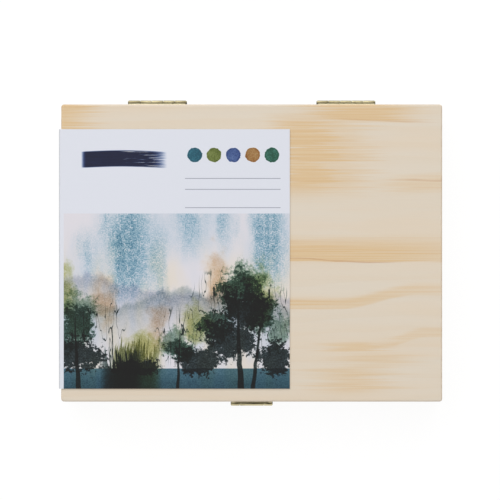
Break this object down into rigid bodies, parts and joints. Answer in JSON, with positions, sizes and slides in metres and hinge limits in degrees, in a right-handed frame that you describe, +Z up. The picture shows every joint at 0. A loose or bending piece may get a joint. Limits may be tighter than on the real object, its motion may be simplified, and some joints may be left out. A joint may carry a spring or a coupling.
{
  "type": "watercolour paint box",
  "caption": "Flat pine paint box with a hinged lid, brass clasp, foam tray of paint tubes with screw caps, and a folded card sleeve.",
  "frame": {"origin": "under the middle of the wooden box, on the plane that it stands on", "axes": "+X to the right seen from above, +Y towards the hinges at the back, +Z up through the lid"},
  "size_m": [0.165, 0.1324, 0.0354],
  "materials": {
    "pine": "sanded, bare",
    "brass": "brass plated, slightly dulled",
    "printed_card": "printed card, satin",
    "foam": "matt foam",
    "tube_lacquer": "lacquered metal",
    "cap_plastic": "moulded, satin"
  },
  "bodies": {
    "base": {"bottom_panel": "pine", "base_front_rail": "pine", "base_back_rail": "pine", "base_left_rail": "pine", "base_right_rail": "pine", "hinge_left_base_leaf": "brass", "hinge_right_base_leaf": "brass", "hinge_left_pin": "brass", "hinge_right_pin": "brass", "hinge_screws_base": "brass", "clasp_keeper": "brass", "clasp_screws_base": "brass", "tube_tray": "foam", "tube_1": "tube_lacquer", "tube_2": "tube_lacquer", "tube_3": "tube_lacquer", "tube_4": "tube_lacquer", "tube_5": "tube_lacquer"},
    "lid": {"lid_panel": "pine", "lid_front_rail": "pine", "lid_back_rail": "pine", "lid_left_rail": "pine", "lid_right_rail": "pine", "hinge_left_lid_leaf": "brass", "hinge_right_lid_leaf": "brass", "hinge_screws_lid": "brass", "clasp_plate": "brass", "clasp_pin": "brass", "clasp_screws_lid": "brass"},
    "clasp_flap": {"clasp_flap": "brass"},
    "sleeve_front": {"sleeve_front": "printed_card"},
    "sleeve_back": {"sleeve_back": "printed_card"},
    "cap_1": {"tube_cap_1": "cap_plastic"},
    "cap_2": {"tube_cap_2": "cap_plastic"},
    "cap_3": {"tube_cap_3": "cap_plastic"},
    "cap_4": {"tube_cap_4": "cap_plastic"},
    "cap_5": {"tube_cap_5": "cap_plastic"}
  },
  "joints": [
    {"name": "lid_hinge", "type": "hinge", "parent": "base", "child": "lid", "pos_m": [0, 0.0652, 0.0217], "axis": [-1, 0, 0], "range_deg": [0, 183.5]},
    {"name": "clasp_swing", "type": "hinge", "parent": "lid", "child": "clasp_flap", "pos_m": [0, -0.0652, 0.0247], "axis": [-1, 0, 0], "range_deg": [0, 120]},
    {"name": "sleeve_slip_off", "type": "slide", "parent": "base", "child": "sleeve_back", "axis": [-1, 0, 0], "range_m": [0, 0.105]},
    {"name": "sleeve_front_slip_off", "type": "slide", "parent": "lid", "child": "sleeve_front", "axis": [-1, 0, 0], "range_m": [0, 0.105]},
    {"name": "cap_1_twist", "type": "hinge", "parent": "base", "child": "cap_1", "pos_m": [-0.0608, -0.048, 0.0146], "axis": [0, 1, 0], "continuous": true},
    {"name": "cap_2_twist", "type": "hinge", "parent": "base", "child": "cap_2", "pos_m": [-0.0304, -0.048, 0.0146], "axis": [0, 1, 0], "continuous": true},
    {"name": "cap_3_twist", "type": "hinge", "parent": "base", "child": "cap_3", "pos_m": [0, -0.048, 0.0146], "axis": [0, 1, 0], "continuous": true},
    {"name": "cap_4_twist", "type": "hinge", "parent": "base", "child": "cap_4", "pos_m": [0.0304, -0.048, 0.0146], "axis": [0, 1, 0], "continuous": true},
    {"name": "cap_5_twist", "type": "hinge", "parent": "base", "child": "cap_5", "pos_m": [0.0608, -0.048, 0.0146], "axis": [0, 1, 0], "continuous": true}
  ],
  "couplings": [
    {"joint": "sleeve_front_slip_off", "follows": "sleeve_slip_off", "ratio": 1}
  ]
}
